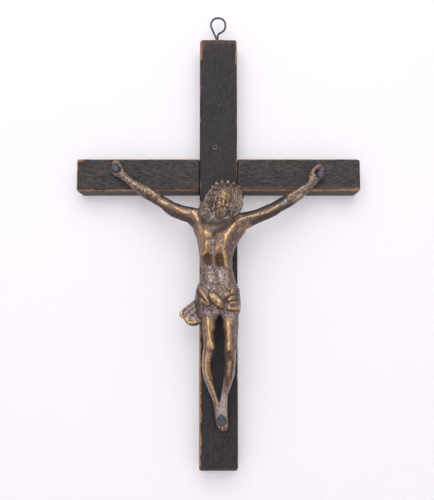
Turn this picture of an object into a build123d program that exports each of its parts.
from build123d import *
import os
from math import asin, atan2, copysign, cos, pi, radians, sin, sqrt, tan

# Wall crucifix: a half-lapped wooden cross, a cast figure held by three nails, and a wire loop.
# The front faces -Y, +X is the viewer's right and +Z is up. Sizes are in millimetres.
# The origin is where a wall hook bears: the inner crown of the loop, at mid-thickness of the wood.

# Wooden cross
UPRIGHT_WIDTH = 19.2
UPRIGHT_THICKNESS = 11.0
UPRIGHT_ABOVE_BAR = 71.8      # from the crossbar's centre line to the top end
UPRIGHT_BELOW_NAIL = 24.9     # from the feet nail to the foot
CROSSBAR_LENGTH = 145.0
CROSSBAR_HEIGHT = 16.8
FACE_STEP = 0.6               # the crossbar's face lies this far behind the upright's
LAP_CLEARANCE = 0.05          # each side of the half-lap
ARRIS_CHAMFER = 0.5           # eased edges of the faces
CORNER_ROUND = 1.0            # corners of the bar ends
PIN_HOLE_DIAMETER = 1.0       # small empty hole above the crossing
PIN_HOLE_DEPTH = 6.0
PIN_HOLE_RISE = 14.4          # above the crossbar's centre line
PIN_HOLE_SIDE = -1.7

# Wire hanging loop
WIRE_DIAMETER = 1.1
WIRE_SIDES = 12               # flats that stand for its round
LOOP_WIDTH = 8.7              # outside
LOOP_RISE = 15.1              # outside crown above the wood
LOOP_NECK = 3.4               # bend of the back leg, above the wood
LOOP_SHOULDER = 5.3           # bend of the front leg, above the wood
LOOP_SHOULDER_SLOPE = 32.0    # degrees, of the run above that bend
LOOP_SET_RADIUS = 1.6         # of the front leg's bend
LOOP_LEG_BEND = 4.0           # radius of the back leg's bend
LOOP_BEND_SHARE = 0.97        # crown bends, as a share of half the loop's width
LOOP_LEAN = -0.15             # middle of the crown, to the side of the upright's middle
LOOP_STEM_SIDE = -0.7         # middle of the hole for both legs
LOOP_LEG_GAP = 0.08           # between the two legs in their hole
LOOP_LEG_ANGLE = 55.0         # degrees, of the line through both legs, from X towards -Y
LOOP_HOLE_CLEARANCE = 0.1
LOOP_HOLE_DEPTH = 10.0
LOOP_LEG_END_GAP = 0.2        # between the legs' ends and the bottom of the hole

# Nails
HAND_NAIL_HEAD = 4.5
FEET_NAIL_HEAD = 5.2
NAIL_HEAD_HEIGHT = 1.0
NAIL_RIM_HEIGHT = 0.4
NAIL_CROWN_SHARE = 0.66       # flat top of a head, as a share of its width
NAIL_SIDES = 9                # hammered facets round a head
NAIL_SHANK = 1.1              # across the flats of the forged square shank
NAIL_POINT = 2.2
NAIL_TIP = 0.3
NAIL_GRIP = 7.5               # length in the wood
PILOT_CLEARANCE = 0.08        # on the diameter, over the shank's corners
PILOT_END_GAP = 0.3
HAND_HOLE = 3.4               # cast hole in each palm
FEET_HOLE = 2.2
RIGHT_HOLE_SHIFT_X = -0.75    # the right palm's hole is off its nail, up and inwards
RIGHT_HOLE_SHIFT_Z = 0.55
SEAT_MARGIN = 0.5             # flat spot round a nail head
LEFT_NAIL_TURN = 0.0          # degrees
RIGHT_NAIL_TURN = 15.0
FEET_NAIL_TURN = 8.0

# Cast figure, laid out in heads from the crossing of the bars, on the face of the upright
HEAD = 16.0                   # hair to beard
HAND_THICKNESS = 2.9          # at the nail
FEET_THICKNESS = 5.5          # both feet, at the nail
LEFT_NAIL = (-3.25, 0.15)     # X and Z
RIGHT_NAIL = (3.24, -0.03)
FEET_NAIL = (0.09, -7.71)
HEAD_CENTRE = (0.15, -0.62, -0.99)
HEAD_NOD = 18.0               # degrees, forwards
HEAD_TILT = 13.0              # degrees, crown to the viewer's right
CROWN_SIDE = 0.05             # to the viewer's right of the middle of the head
CROWN_RISE = 0.06             # above it
CROWN_TILT = 66.0             # degrees, front edge raised
CROWN_RADIUS = 0.46
CROWN_STRANDS = 17            # of the twisted wreath
CROWN_STRAND = (0.28, 0.075)  # length and half width
CROWN_TWIST = 32.0            # degrees, of a strand to the ring
CROWN_BEADS = 10              # blunt thorns along the front
CROWN_BEAD = (0.16, 0.056)
CROWN_FIRST_BEAD = -186.0     # degrees round the ring, from the viewer's right
CROWN_BEAD_ARC = 165.0
BODY_SIDES = 12               # flats round a body or limb
FOLD_SIDES = 8                # flats round a fold, finger or feature
STRAND_SIDES = 6
BODY_SQUARENESS = 2.4         # 2 is an ellipse, more is a rounded box

# Rows of a body or limb: centre X, Y, Z, half width, half depth
TORSO = [
    (0.02, -0.40, -4.35, 0.54, 0.25),
    (-0.01, -0.39, -4.05, 0.62, 0.31),
    (-0.02, -0.38, -3.54, 0.57, 0.29),
    (-0.04, -0.38, -3.15, 0.48, 0.26),
    (-0.07, -0.43, -2.76, 0.51, 0.33),
    (-0.06, -0.45, -2.45, 0.57, 0.37),
    (-0.02, -0.46, -2.10, 0.69, 0.38),
    (0.04, -0.43, -1.75, 0.79, 0.35),
    (0.08, -0.39, -1.45, 0.74, 0.29),
    (0.10, -0.36, -1.20, 0.48, 0.22),
]
NECK = [
    (0.10, -0.38, -1.45, 0.26, 0.22),
    (0.12, -0.45, -1.25, 0.22, 0.21),
    (0.14, -0.54, -1.05, 0.22, 0.22),
]
LEFT_ARM = [
    (-0.25, -0.41, -1.58, 0.30, 0.26),
    (-0.62, -0.40, -1.47, 0.29, 0.25),
    (-0.86, -0.38, -1.37, 0.23, 0.24),
    (-1.37, -0.33, -1.22, 0.19, 0.21),
    (-1.69, -0.27, -1.02, 0.17, 0.18),
    (-2.00, -0.23, -0.82, 0.175, 0.17),
    (-2.33, -0.18, -0.59, 0.20, 0.17),
    (-2.58, -0.14, -0.42, 0.16, 0.14),
    (-2.85, -0.09, -0.22, 0.12, 0.12),
    (-3.06, -0.06, -0.02, 0.16, 0.11),
    (-3.24, -0.07, 0.19, 0.21, 0.12),
    (-3.27, -0.05, 0.37, 0.14, 0.10),
    (-3.27, -0.04, 0.44, 0.07, 0.06),
]
RIGHT_ARM = [
    (0.31, -0.41, -1.64, 0.27, 0.26),
    (0.84, -0.38, -1.54, 0.24, 0.24),
    (1.19, -0.34, -1.41, 0.20, 0.21),
    (1.73, -0.28, -1.17, 0.20, 0.19),
    (2.20, -0.20, -0.89, 0.21, 0.17),
    (2.56, -0.15, -0.67, 0.17, 0.14),
    (2.79, -0.11, -0.46, 0.14, 0.12),
    (2.98, -0.07, -0.25, 0.16, 0.11),
    (3.17, -0.07, 0.04, 0.21, 0.12),
    (3.23, -0.05, 0.24, 0.14, 0.10),
    (3.24, -0.04, 0.31, 0.07, 0.06),
]
LEFT_FINGERS = [
    (-3.37, -0.10, 0.31, 0.05, 0.05),
    (-3.27, -0.13, 0.38, 0.07, 0.07),
    (-3.13, -0.12, 0.32, 0.05, 0.05),
]
LEFT_THUMB = [
    (-3.11, -0.10, 0.24, 0.04, 0.05),
    (-3.05, -0.12, 0.10, 0.05, 0.06),
    (-2.94, -0.11, -0.10, 0.05, 0.05),
]
RIGHT_FINGERS = [
    (2.94, -0.10, -0.24, 0.05, 0.05),
    (3.03, -0.12, 0.06, 0.06, 0.06),
    (3.12, -0.13, 0.21, 0.06, 0.07),
    (3.25, -0.12, 0.24, 0.06, 0.06),
    (3.35, -0.09, 0.13, 0.04, 0.05),
]
LEFT_LEG = [
    (-0.29, -0.40, -3.98, 0.18, 0.17),
    (-0.33, -0.44, -4.44, 0.225, 0.24),
    (-0.31, -0.50, -4.86, 0.19, 0.23),
    (-0.30, -0.56, -5.20, 0.17, 0.20),
    (-0.28, -0.59, -5.48, 0.17, 0.19),
    (-0.33, -0.54, -5.70, 0.16, 0.17),
    (-0.37, -0.46, -5.95, 0.14, 0.17),
    (-0.36, -0.39, -6.20, 0.14, 0.17),
    (-0.31, -0.34, -6.42, 0.14, 0.16),
    (-0.23, -0.28, -6.70, 0.12, 0.14),
    (-0.12, -0.22, -7.00, 0.10, 0.13),
    (-0.03, -0.16, -7.30, 0.12, 0.14),
    (0.03, -0.12, -7.60, 0.15, 0.14),
    (0.07, -0.09, -7.88, 0.14, 0.12),
    (0.08, -0.07, -7.99, 0.07, 0.06),
]
RIGHT_LEG = [
    (0.30, -0.40, -3.98, 0.18, 0.17),
    (0.36, -0.45, -4.46, 0.26, 0.25),
    (0.38, -0.51, -4.80, 0.24, 0.24),
    (0.38, -0.57, -5.14, 0.21, 0.21),
    (0.37, -0.61, -5.48, 0.20, 0.19),
    (0.36, -0.58, -5.70, 0.18, 0.17),
    (0.35, -0.51, -5.95, 0.17, 0.18),
    (0.33, -0.44, -6.29, 0.17, 0.17),
    (0.26, -0.39, -6.61, 0.14, 0.15),
    (0.18, -0.35, -6.92, 0.11, 0.13),
    (0.14, -0.32, -7.28, 0.13, 0.11),
    (0.12, -0.28, -7.62, 0.16, 0.11),
    (0.15, -0.22, -7.92, 0.16, 0.10),
    (0.16, -0.19, -8.03, 0.09, 0.05),
]
LOINCLOTH = [
    (0.01, -0.42, -4.52, 0.66, 0.33),
    (-0.01, -0.42, -4.25, 0.70, 0.38),
    (-0.03, -0.42, -4.00, 0.71, 0.39),
    (-0.02, -0.41, -3.75, 0.67, 0.36),
    (-0.01, -0.40, -3.55, 0.61, 0.32),
]
SKULL = [
    (0.00, 0.02, 0.41, 0.15, 0.18),
    (0.00, 0.00, 0.26, 0.28, 0.34),
    (0.00, 0.00, 0.06, 0.32, 0.39),
    (0.00, -0.03, -0.14, 0.285, 0.35),
    (0.00, -0.08, -0.30, 0.21, 0.26),
    (0.00, -0.12, -0.42, 0.12, 0.15),
]
NOSE = [
    (0.00, -0.37, 0.08, 0.03, 0.05),
    (0.00, -0.40, -0.03, 0.045, 0.07),
    (0.00, -0.40, -0.11, 0.06, 0.08),
]
BROW = [
    (-0.22, -0.27, 0.07, 0.03, 0.05),
    (0.00, -0.37, 0.10, 0.035, 0.05),
    (0.22, -0.27, 0.07, 0.03, 0.05),
]
BEARD = [
    (0.00, -0.20, -0.22, 0.21, 0.17),
    (0.00, -0.24, -0.38, 0.18, 0.15),
    (0.00, -0.25, -0.54, 0.09, 0.08),
]
HAIR = [
    (0.00, 0.08, 0.49, 0.16, 0.18),
    (0.00, 0.08, 0.40, 0.36, 0.36),
    (0.00, 0.12, 0.18, 0.52, 0.42),
    (0.00, 0.14, -0.08, 0.56, 0.40),
    (0.00, 0.16, -0.32, 0.54, 0.34),
    (0.00, 0.18, -0.50, 0.46, 0.26),
]
LEFT_LOCK = [
    (-0.17, -0.66, -0.66, 0.12, 0.14),
    (-0.36, -0.69, -0.92, 0.19, 0.19),
    (-0.42, -0.69, -1.18, 0.19, 0.19),
    (-0.40, -0.66, -1.42, 0.22, 0.17),
    (-0.34, -0.62, -1.62, 0.13, 0.10),
]
RIGHT_LOCK = [
    (0.42, -0.66, -0.62, 0.13, 0.14),
    (0.54, -0.69, -0.85, 0.18, 0.19),
    (0.55, -0.70, -1.10, 0.22, 0.19),
    (0.48, -0.67, -1.32, 0.20, 0.16),
    (0.40, -0.63, -1.50, 0.12, 0.10),
]

# Folds of the loincloth
CLOTH_OPENING = [(-0.66, -3.40), (0.15, -4.24), (0.58, -3.40)]   # bare belly: X and Z
FRONT_ROLL = [
    (-0.30, -0.76, -3.86, 0.04, 0.05),
    (-0.17, -0.80, -3.98, 0.11, 0.08),
    (0.02, -0.81, -4.17, 0.12, 0.08),
    (0.15, -0.78, -4.31, 0.05, 0.05),
]
LEFT_BANDS = [
    [
        (-0.55, -0.62, -3.64, 0.05, 0.06),
        (-0.44, -0.75, -3.93, 0.07, 0.07),
        (-0.28, -0.80, -4.22, 0.05, 0.05),
    ],
    [
        (-0.66, -0.48, -3.74, 0.05, 0.06),
        (-0.57, -0.66, -4.03, 0.07, 0.07),
        (-0.33, -0.77, -4.30, 0.05, 0.05),
    ],
]
RIGHT_BAND = [                                # one gathered band, from its own height
    (0.26, -0.78, 0.02, 0.05, 0.05),
    (0.44, -0.71, 0.03, 0.08, 0.07),
    (0.58, -0.56, 0.01, 0.08, 0.07),
    (0.62, -0.36, 0.00, 0.05, 0.05),
]
RIGHT_BAND_HEIGHTS = [-3.76, -3.95, -4.14, -4.38]

# Flying end of the loincloth, at the viewer's left hip
FLYING_END_Y = -0.32
FLYING_END_THICKNESS = 0.12
FLYING_END_ROOT = [(-0.40, -4.60), (-0.50, -3.86)]               # X and Z, inside the hip
FLYING_END_TIP = [(-1.18, -4.40), (-1.19, -4.53), (-1.06, -4.62)]
FLYING_END_HEM = [(-1.06, -4.62), (-0.93, -4.80), (-0.52, -4.71)]
TIP_ROLL = [
    (-1.14, -0.36, -4.39, 0.05, 0.05),
    (-1.14, -0.37, -4.50, 0.06, 0.07),
    (-1.07, -0.36, -4.59, 0.05, 0.05),
]
HEM_ROLL = [
    (-1.01, -0.36, -4.66, 0.05, 0.05),
    (-0.93, -0.38, -4.75, 0.06, 0.07),
    (-0.76, -0.38, -4.76, 0.06, 0.07),
    (-0.55, -0.38, -4.70, 0.05, 0.05),
]

# Worked out from the sizes above
CROSSBAR_THICKNESS = UPRIGHT_THICKNESS - FACE_STEP
FACE_Y = -UPRIGHT_THICKNESS / 2
BACK_Y = UPRIGHT_THICKNESS / 2
BAR_FACE_Y = FACE_Y + FACE_STEP
TOP_Z = WIRE_DIAMETER - LOOP_RISE
BAR_Z = TOP_Z - UPRIGHT_ABOVE_BAR
FOOT_Z = BAR_Z + FEET_NAIL[1] * HEAD - UPRIGHT_BELOW_NAIL
UPRIGHT_LENGTH = TOP_Z - FOOT_Z
HAND_SEAT_Y = BAR_FACE_Y - HAND_THICKNESS
FEET_SEAT_Y = FACE_Y - FEET_THICKNESS
LEG_SPREAD = WIRE_DIAMETER + LOOP_LEG_GAP
PILOT_DIAMETER = sqrt(2) * NAIL_SHANK + PILOT_CLEARANCE
FIGURE = Location((0, FACE_Y, BAR_Z))
HEAD_FRAME = FIGURE * Location(Vector(*HEAD_CENTRE) * HEAD, (HEAD_NOD, HEAD_TILT, 0))


def drill(x, z, start_y, end_y, diameter):
    """Round bore along Y."""
    return Plane((x, start_y, z), x_dir=(1, 0, 0), z_dir=(0, 1, 0)) * Cylinder(
        diameter / 2, end_y - start_y, align=(Align.CENTER, Align.CENTER, Align.MIN))


def nail_point(place):
    """X and Z of a nail, from its place on the figure."""
    return place[0] * HEAD, BAR_Z + place[1] * HEAD


def pilot_hole(place, face_y):
    """Blind hole in the wood for a nail that enters at face_y."""
    x, z = nail_point(place)
    end_y = face_y + NAIL_GRIP + PILOT_END_GAP
    return drill(x, z, face_y - NAIL_GRIP, end_y, PILOT_DIAMETER)


def eased_bar(x_size, y_size, z_size):
    """Straight bar with rounded end corners and eased arrises."""
    bar = fillet(Box(x_size, y_size, z_size).edges().filter_by(Axis.Y), CORNER_ROUND)
    faces = bar.faces().sort_by(Axis.Y)
    return chamfer(faces[0].edges() + faces[-1].edges(), ARRIS_CHAMFER)


def upright():
    middle = Pos(0, 0, (TOP_Z + FOOT_Z) / 2)
    bar = middle * eased_bar(UPRIGHT_WIDTH, UPRIGHT_THICKNESS, UPRIGHT_LENGTH)
    lap = Pos(0, 0, BAR_Z) * Box(
        2 * UPRIGHT_WIDTH, UPRIGHT_THICKNESS, CROSSBAR_HEIGHT + 2 * LAP_CLEARANCE,
        align=(Align.CENTER, Align.MIN, Align.CENTER))
    pin_hole = drill(
        PIN_HOLE_SIDE, BAR_Z + PIN_HOLE_RISE, FACE_Y - PIN_HOLE_DEPTH, FACE_Y + PIN_HOLE_DEPTH,
        PIN_HOLE_DIAMETER)
    loop_hole = Pos(LOOP_STEM_SIDE, 0, TOP_Z) * Cylinder(
        LEG_SPREAD / 2 + WIRE_DIAMETER / 2 + LOOP_HOLE_CLEARANCE / 2, LOOP_HOLE_DEPTH,
        align=(Align.CENTER, Align.CENTER, Align.MAX))
    return bar - lap - pin_hole - loop_hole - pilot_hole(FEET_NAIL, FACE_Y)


def crossbar():
    bar = Pos(0, BACK_Y - CROSSBAR_THICKNESS / 2, BAR_Z) * eased_bar(
        CROSSBAR_LENGTH, CROSSBAR_THICKNESS, CROSSBAR_HEIGHT)
    lap = Pos(0, 0, BAR_Z) * Box(
        UPRIGHT_WIDTH + 2 * LAP_CLEARANCE, UPRIGHT_THICKNESS, 2 * CROSSBAR_HEIGHT,
        align=(Align.CENTER, Align.MAX, Align.CENTER))
    return bar - lap - pilot_hole(LEFT_NAIL, BAR_FACE_Y) - pilot_hole(RIGHT_NAIL, BAR_FACE_Y)


def hanging_loop():
    """One wire: up the back leg, round the crown, over a set in the front leg and down again."""
    radius = (LOOP_WIDTH - WIRE_DIAMETER) / 2
    left, right = LOOP_LEAN - radius, LOOP_LEAN + radius
    crown = LOOP_RISE - WIRE_DIAMETER / 2
    leg_x = LEG_SPREAD / 2 * cos(radians(LOOP_LEG_ANGLE))
    leg_y = LEG_SPREAD / 2 * sin(radians(LOOP_LEG_ANGLE))
    back_x, front_x = LOOP_STEM_SIDE - leg_x, LOOP_STEM_SIDE + leg_x
    leg_end = LOOP_LEG_END_GAP - LOOP_HOLE_DEPTH
    # The back leg runs straight from its neck to touch the round of the crown.
    run_x, run_z = LOOP_LEAN - back_x, crown - radius - LOOP_NECK
    lean = asin(radius / (run_x ** 2 + run_z ** 2) ** 0.5) - atan2(run_x, run_z)
    left_corner = LOOP_NECK + (back_x - left) / tan(lean)
    right_corner = LOOP_SHOULDER + (right - front_x) * tan(radians(LOOP_SHOULDER_SLOPE))
    route = [
        (back_x, leg_y, leg_end),
        (back_x, leg_y, LOOP_NECK),
        (left, leg_y / 2, left_corner),
        (left, 0, crown),
        (right, 0, crown),
        (right, -leg_y / 2, right_corner),
        (front_x, -leg_y, LOOP_SHOULDER),
        (front_x, -leg_y, leg_end),
    ]
    bend = LOOP_BEND_SHARE * radius
    section = RegularPolygon(WIRE_DIAMETER / 2, WIRE_SIDES)
    wire = FilletPolyline(*route, radius=[LOOP_LEG_BEND, bend, bend, bend, bend, LOOP_SET_RADIUS])
    return Pos(0, 0, TOP_Z) * sweep(Plane(route[0]) * section, path=wire)


def nail(place, head_width, seat_y, face_y, turn):
    """Forged nail: faceted head on the metal at seat_y, square shank in the wood behind face_y."""
    x, z = nail_point(place)
    point_end = face_y - seat_y + NAIL_GRIP
    point_start = point_end - NAIL_POINT
    square = Rectangle(NAIL_SHANK, NAIL_SHANK)
    tip = Rectangle(NAIL_TIP, NAIL_TIP)
    outline = RegularPolygon(head_width / 2, NAIL_SIDES)
    top = RegularPolygon(head_width / 2 * NAIL_CROWN_SHARE, NAIL_SIDES)
    shape = extrude(square, point_start)
    shape += loft([Pos(0, 0, point_start) * square, Pos(0, 0, point_end) * tip], ruled=True)
    shape += extrude(outline, -NAIL_RIM_HEIGHT)
    shape += loft([Pos(0, 0, -NAIL_RIM_HEIGHT) * outline, Pos(0, 0, -NAIL_HEAD_HEIGHT) * top], ruled=True)
    return Plane((x, seat_y, z), x_dir=(1, 0, 0), z_dir=(0, 1, 0)) * Rot(0, 0, turn) * shape


def oval(half_width, half_depth, sides, squareness):
    """Many-sided outline, from an ellipse at squareness 2 towards a rounded box."""
    power = 2 / squareness
    points = []
    for i in range(sides):
        across, deep = cos(2 * pi * i / sides), sin(2 * pi * i / sides)
        points.append((
            half_width * copysign(abs(across) ** power, across),
            half_depth * copysign(abs(deep) ** power, deep)))
    return make_face(Polyline(*points, close=True))


def form(rows, sides=BODY_SIDES, squareness=2.0, frame=FIGURE):
    """Chased solid through oval sections square to the line of their centres, in heads."""
    centres = [Vector(*row[:3]) * HEAD for row in rows]
    sections = []
    for i, row in enumerate(rows):
        along = centres[min(i + 1, len(rows) - 1)] - centres[max(i - 1, 0)]
        across = Vector(0, 1, 0).cross(along)
        section = oval(row[3] * HEAD, row[4] * HEAD, sides, squareness)
        sections.append(Plane(centres[i], x_dir=across, z_dir=along) * section)
    return frame * loft(sections, ruled=True)


def flat_points(points, y):
    """Points given as X and Z in heads, on a plane facing the front."""
    return [Vector(x, y, z) * HEAD for x, z in points]


def spindle(length, half_width):
    """Short strand along Z, thick in the middle, in heads."""
    middle = RegularPolygon(half_width * HEAD, STRAND_SIDES)
    end = RegularPolygon(half_width * HEAD / 2, STRAND_SIDES)
    rise = Pos(0, 0, length * HEAD / 2)
    return loft([rise.inverse() * end, middle, rise * end], ruled=True)


def crown():
    """Twisted wreath with a row of blunt thorns along its front."""
    strand = Rot(90 - CROWN_TWIST, 0, 0) * spindle(*CROWN_STRAND)
    bead = Rot(0, 90, 0) * spindle(*CROWN_BEAD)
    bead_radius = CROWN_RADIUS + CROWN_BEAD[0] / 2
    wreath = PolarLocations(CROWN_RADIUS * HEAD, CROWN_STRANDS)
    thorns = PolarLocations(
        bead_radius * HEAD, CROWN_BEADS, CROWN_FIRST_BEAD, CROWN_BEAD_ARC, endpoint=True)
    pieces = [spot * strand for spot in wreath] + [spot * bead for spot in thorns]
    middle = Vector(CROWN_SIDE, 0, CROWN_RISE) * HEAD
    place = HEAD_FRAME * Location(middle, (-CROWN_TILT, 0, 0))
    return [place * piece for piece in pieces]


def loincloth():
    """Wrap round the hips, open over the belly, with its rolled and gathered folds."""
    wrap = form(LOINCLOTH, squareness=BODY_SQUARENESS)
    opening = make_face(Polyline(*flat_points(CLOTH_OPENING, LOINCLOTH[0][1]), close=True))
    wrap -= FIGURE * extrude(opening, amount=HEAD, dir=(0, -1, 0))
    bands = [form(rows, FOLD_SIDES) for rows in [FRONT_ROLL] + LEFT_BANDS]
    for height in RIGHT_BAND_HEIGHTS:
        band = [(x, y, height + z, wide, deep) for x, y, z, wide, deep in RIGHT_BAND]
        bands.append(form(band, FOLD_SIDES))
    return [wrap] + bands


def flying_end():
    """Loose end of the cloth with two rolled hems."""
    y = FLYING_END_Y + FLYING_END_THICKNESS / 2
    root = flat_points(FLYING_END_ROOT, y)
    tip = flat_points(FLYING_END_TIP, y)
    hem = flat_points(FLYING_END_HEM, y)
    edge = Polyline(hem[-1], *root, tip[0]) + ThreePointArc(*tip) + ThreePointArc(*hem)
    sheet = extrude(make_face(edge), amount=FLYING_END_THICKNESS * HEAD, dir=(0, -1, 0))
    return [FIGURE * sheet, form(TIP_ROLL, FOLD_SIDES), form(HEM_ROLL, FOLD_SIDES)]


def head():
    """Bowed head: a plain bearded face under long hair and the crown."""
    skull = form(SKULL, frame=HEAD_FRAME)
    features = [form(rows, FOLD_SIDES, frame=HEAD_FRAME) for rows in (NOSE, BROW)]
    hair = [form(rows, frame=HEAD_FRAME) for rows in (BEARD, HAIR)]
    locks = [form(LEFT_LOCK), form(RIGHT_LOCK)]
    return [skull] + features + hair + locks + crown()


def wood_faces():
    """Space behind the two front faces of the wood, where the casting's back is filed flat."""
    low = (Align.CENTER, Align.MIN, Align.CENTER)
    depth, height = UPRIGHT_THICKNESS, 2 * UPRIGHT_LENGTH
    behind_upright = Pos(0, FACE_Y, BAR_Z) * Box(UPRIGHT_WIDTH, depth, height, align=low)
    behind_bar = Pos(0, BAR_FACE_Y, BAR_Z) * Box(CROSSBAR_LENGTH, depth, height, align=low)
    return [behind_upright, behind_bar]


def nail_seat(place, head_width, seat_y, hole, shift_x=0.0, shift_z=0.0):
    """Hole through the casting and the flat spot under a nail head."""
    x, z = nail_point(place)
    flat_spot = drill(x, z, seat_y - HEAD, seat_y, head_width + 2 * SEAT_MARGIN)
    bore = drill(x + shift_x, z + shift_z, seat_y - HEAD / 2, BACK_Y, hole)
    return [flat_spot, bore]


def corpus():
    """The cast figure: body, limbs, cloth, hair and crown in one piece of metal."""
    body = form(TORSO, squareness=BODY_SQUARENESS)
    limbs = [form(rows) for rows in (NECK, LEFT_ARM, RIGHT_ARM, LEFT_LEG, RIGHT_LEG)]
    fingers = [form(rows, FOLD_SIDES) for rows in (LEFT_FINGERS, LEFT_THUMB, RIGHT_FINGERS)]
    figure = body + limbs + fingers + loincloth() + flying_end() + head()
    cuts = wood_faces()
    cuts += nail_seat(LEFT_NAIL, HAND_NAIL_HEAD, HAND_SEAT_Y, HAND_HOLE)
    cuts += nail_seat(
        RIGHT_NAIL, HAND_NAIL_HEAD, HAND_SEAT_Y, HAND_HOLE, RIGHT_HOLE_SHIFT_X, RIGHT_HOLE_SHIFT_Z)
    cuts += nail_seat(FEET_NAIL, FEET_NAIL_HEAD, FEET_SEAT_Y, FEET_HOLE)
    for cut in cuts:
        figure -= cut
    return figure


PIECES = {
    "upright": upright(),
    "crossbar": crossbar(),
    "hanging_loop": hanging_loop(),
    "corpus": corpus(),
    "left_hand_nail": nail(LEFT_NAIL, HAND_NAIL_HEAD, HAND_SEAT_Y, BAR_FACE_Y, LEFT_NAIL_TURN),
    "right_hand_nail": nail(RIGHT_NAIL, HAND_NAIL_HEAD, HAND_SEAT_Y, BAR_FACE_Y, RIGHT_NAIL_TURN),
    "feet_nail": nail(FEET_NAIL, FEET_NAIL_HEAD, FEET_SEAT_Y, FACE_Y, FEET_NAIL_TURN),
}

os.makedirs("parts", exist_ok=True)
for name, piece in PIECES.items():
    export_step(piece, f"parts/{name}.step")
    print(name, "volume", round(piece.volume, 1), "valid", piece.is_valid)
